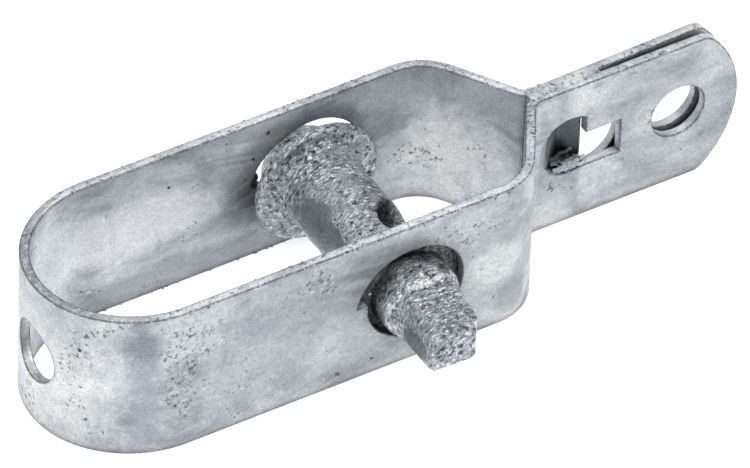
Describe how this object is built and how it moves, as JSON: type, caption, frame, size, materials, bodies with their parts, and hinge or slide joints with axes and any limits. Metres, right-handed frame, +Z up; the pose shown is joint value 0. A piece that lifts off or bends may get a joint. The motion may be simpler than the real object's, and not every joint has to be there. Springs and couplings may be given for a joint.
{
  "type": "fence wire tensioner",
  "caption": "Galvanised in-line wire tensioner: a folded strip loop with a square-headed ratchet spindle across it and a flat double tail.",
  "frame": {"origin": "centre of the wire eye in the rounded nose, on the strip's middle surface", "axes": "+X along the tensioner from the nose to the tail, +Z up across the strip's width, -Y out of the wall that the square head stands beyond"},
  "size_m": [0.1155, 0.0453, 0.025],
  "materials": {
    "galvanised_strip": "hot-dip galvanised, matte and patchy",
    "galvanised_casting": "hot-dip galvanised over a rough casting"
  },
  "bodies": {
    "frame": {"frame": "galvanised_strip"},
    "spindle": {"spindle": "galvanised_casting"}
  },
  "joints": [
    {"name": "spindle_turn", "type": "hinge", "parent": "frame", "child": "spindle", "pos_m": [0.0522, 0, -0.0002], "axis": [0, 1, 0], "continuous": true}
  ]
}
